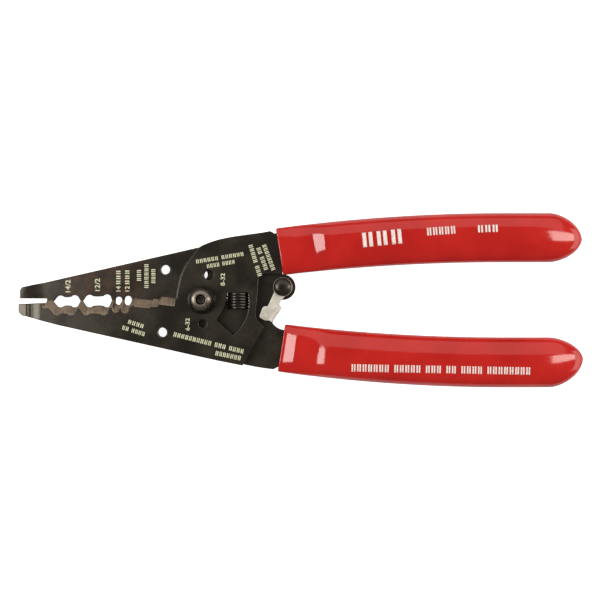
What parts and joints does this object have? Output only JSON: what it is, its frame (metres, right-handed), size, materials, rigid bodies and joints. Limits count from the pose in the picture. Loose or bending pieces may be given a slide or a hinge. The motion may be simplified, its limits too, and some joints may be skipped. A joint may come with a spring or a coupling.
{
  "type": "wire stripper",
  "caption": "Pivoted cable and wire stripper with bevelled stripping jaws, gripping nose, screw shearing holes, sprung handles, dipped grips and a swinging lock latch.",
  "frame": {"origin": "on the pivot axis, at the mating plane of the two levers", "axes": "+X towards the handles, +Y towards the upper handle, +Z out of the front lever"},
  "size_m": [0.1969, 0.0604, 0.0136],
  "materials": {
    "black_steel": "black oxide, satin",
    "pivot_steel": "black oxide, semi-gloss",
    "spring_steel": "oiled spring wire",
    "latch_steel": "zinc plated",
    "red_vinyl": "dipped vinyl, glossy"
  },
  "bodies": {
    "rear": {"rear_lever": "black_steel", "rear_grip": "red_vinyl", "pivot_screw": "pivot_steel", "pivot_nut": "pivot_steel", "pivot_washer": "pivot_steel", "return_spring": "spring_steel", "latch_rivet": "pivot_steel", "latch_washer": "latch_steel"},
    "front": {"front_lever": "black_steel", "front_grip": "red_vinyl"},
    "latch": {"lock_latch": "latch_steel"}
  },
  "joints": [
    {"name": "handle_pivot", "type": "hinge", "parent": "rear", "child": "front", "pos_m": [0, 0, 0], "axis": [0, 0, 1], "range_deg": [-1.6, 24], "deforming": ["return_spring"]},
    {"name": "latch_swing", "type": "hinge", "parent": "rear", "child": "latch", "pos_m": [0.0279, 0.0044, 0.0008], "axis": [0, 0, 1], "range_deg": [-4.3, 63]}
  ],
  "couplings": [
    {"joint": "latch_swing", "follows": "handle_pivot", "ratio": 2.6}
  ]
}
